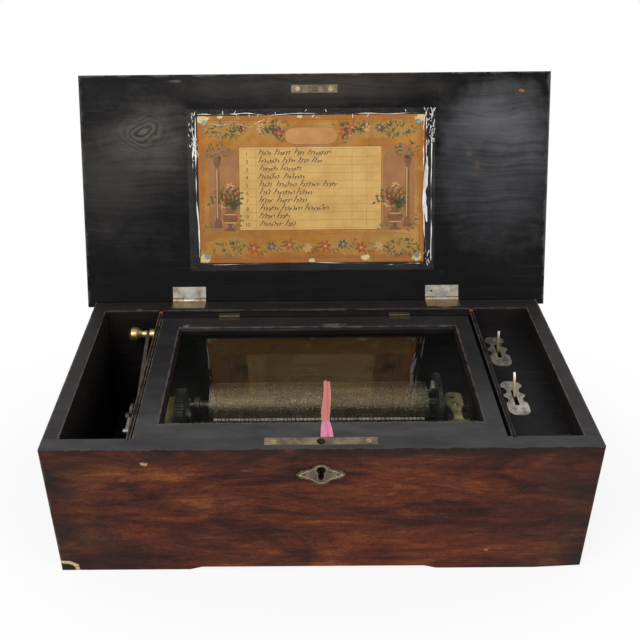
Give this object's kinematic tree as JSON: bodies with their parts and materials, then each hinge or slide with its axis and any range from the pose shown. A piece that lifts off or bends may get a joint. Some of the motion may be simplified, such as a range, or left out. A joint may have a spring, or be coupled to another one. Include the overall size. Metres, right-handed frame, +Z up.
{
  "type": "lever-wound cylinder music box",
  "caption": "Lever-wound cylinder music box in a long wooden case, with a hinged outer lid holding a tune card, an inner glass lid, a winding lever and two control levers.",
  "frame": {"origin": "centre of the case's underside, on the surface it stands on", "axes": "+X to the right seen from the front, +Y to the back, +Z up; the lock side faces -Y"},
  "size_m": [0.541, 0.36, 0.4044],
  "materials": {
    "case_veneer": "grained veneer, worn varnish",
    "case_wood": "dark stained",
    "dark_wood": "ebonised, satin",
    "aged_brass": "aged",
    "bright_brass": "polished, worn",
    "cylinder_brass": "tarnished, pinned",
    "nickel": "worn nickel",
    "steel": "brushed",
    "iron": "as cast",
    "card": "printed card",
    "film": "clear film",
    "glass": "clear",
    "ribbon": "satin ribbon"
  },
  "bodies": {
    "case": {"case_front": "case_veneer", "case_back": "case_wood", "case_left": "case_wood", "case_right": "case_wood", "case_bottom": "case_wood", "left_partition": "dark_wood", "right_partition": "dark_wood", "control_board": "dark_wood", "rear_rail": "dark_wood", "inner_ledges": "dark_wood", "lock_case": "aged_brass", "escutcheon": "aged_brass", "hinge_lower_leaves": "nickel", "hinge_pins": "nickel", "case_screws": "bright_brass", "glass_hinge_rail_leaves": "bright_brass", "glass_hinge_pins": "steel", "control_plates": "nickel", "control_plate_screws": "nickel", "bedplate": "aged_brass", "bedplate_pillars": "steel", "movement_screws": "steel", "movement_bearings": "aged_brass", "comb": "steel", "comb_base": "iron", "click_stud": "steel", "governor_frame": "bright_brass", "governor_cock": "bright_brass"},
    "lid": {"lid_board": "dark_wood", "hinge_upper_leaves": "nickel", "lid_screws": "bright_brass", "catch_plate": "aged_brass", "tune_card": "card", "card_film": "film", "card_pins": "aged_brass"},
    "glass_lid": {"glass_lid_frame": "dark_wood", "glass_pane": "glass", "glass_beads": "dark_wood", "glass_hinge_lid_leaves": "bright_brass", "ribbon_pull": "ribbon"},
    "lock_bolt": {"lock_bolt": "steel"},
    "start_lever": {"start_lever": "bright_brass"},
    "change_lever": {"change_lever": "bright_brass"},
    "cylinder_drive": {"cylinder_arbor": "steel", "cylinder_pinion": "steel", "great_wheel": "aged_brass", "shift_spring": "steel"},
    "cylinder": {"cylinder_shell": "cylinder_brass", "cylinder_caps": "aged_brass"},
    "snail": {"tune_snail": "steel"},
    "barrel": {"barrel_drum": "bright_brass", "barrel_wheel": "steel", "mainspring": "steel"},
    "winding": {"winding_arbor": "steel", "ratchet_wheel": "steel", "winding_lever": "steel", "winding_handle": "bright_brass"},
    "click": {"winding_click": "steel"},
    "governor_arbor": {"lay_arbor": "steel"},
    "governor_fan": {"governor_worm": "steel"}
  },
  "joints": [
    {"name": "lid_hinge", "type": "hinge", "parent": "case", "child": "lid", "pos_m": [0, 0.12912, 0.159], "axis": [1, 0, 0], "range_deg": [0, 110.7]},
    {"name": "glass_lid_hinge", "type": "hinge", "parent": "case", "child": "glass_lid", "pos_m": [0, 0.09735, 0.1572], "axis": [1, 0, 0], "range_deg": [-100, 0]},
    {"name": "winding_lever", "type": "hinge", "parent": "case", "child": "winding", "pos_m": [0, -0.01201, 0.10203], "axis": [-1, 0, 0], "range_deg": [-100, 0]},
    {"name": "winding_click", "type": "hinge", "parent": "case", "child": "click", "pos_m": [0, -0.04148, 0.10723], "axis": [1, 0, 0], "range_deg": [0, 12]},
    {"name": "lock_bolt", "type": "slide", "parent": "case", "child": "lock_bolt", "axis": [1, 0, 0], "range_m": [0, 0.005]},
    {"name": "start_stop_lever", "type": "hinge", "parent": "case", "child": "start_lever", "pos_m": [0.1, -0.021, 0], "axis": [0, 0, 1], "range_deg": [-7, 0]},
    {"name": "change_repeat_lever", "type": "hinge", "parent": "case", "child": "change_lever", "pos_m": [0.1, 0.059, 0], "axis": [0, 0, 1], "range_deg": [-6.5, 3]},
    {"name": "cylinder_spin", "type": "hinge", "parent": "case", "child": "cylinder_drive", "pos_m": [0, 0.02, 0.09], "axis": [1, 0, 0], "continuous": true},
    {"name": "barrel_spin", "type": "hinge", "parent": "case", "child": "barrel", "pos_m": [0, -0.01201, 0.10203], "axis": [1, 0, 0], "continuous": true},
    {"name": "governor_arbor_spin", "type": "hinge", "parent": "case", "child": "governor_arbor", "pos_m": [0, 0.0384, 0.05813], "axis": [1, 0, 0], "continuous": true},
    {"name": "fan_spin", "type": "hinge", "parent": "case", "child": "governor_fan", "pos_m": [0.155, 0.0279, 0], "axis": [0, 0, 1], "continuous": true},
    {"name": "snail_turn", "type": "hinge", "parent": "cylinder_drive", "child": "snail", "pos_m": [0, 0.02712, 0.10762], "axis": [1, 0, 0], "range_deg": [0, 324]},
    {"name": "tune_shift", "type": "slide", "parent": "cylinder_drive", "child": "cylinder", "axis": [1, 0, 0], "range_m": [0, 0.0027], "deforming": ["shift_spring"]}
  ],
  "couplings": [
    {"joint": "barrel_spin", "follows": "cylinder_spin", "ratio": -0.24138},
    {"joint": "governor_arbor_spin", "follows": "cylinder_spin", "ratio": -8.2},
    {"joint": "fan_spin", "follows": "cylinder_spin", "ratio": -164},
    {"joint": "snail_turn", "follows": "tune_shift", "rad_per_m": 2094.4}
  ]
}
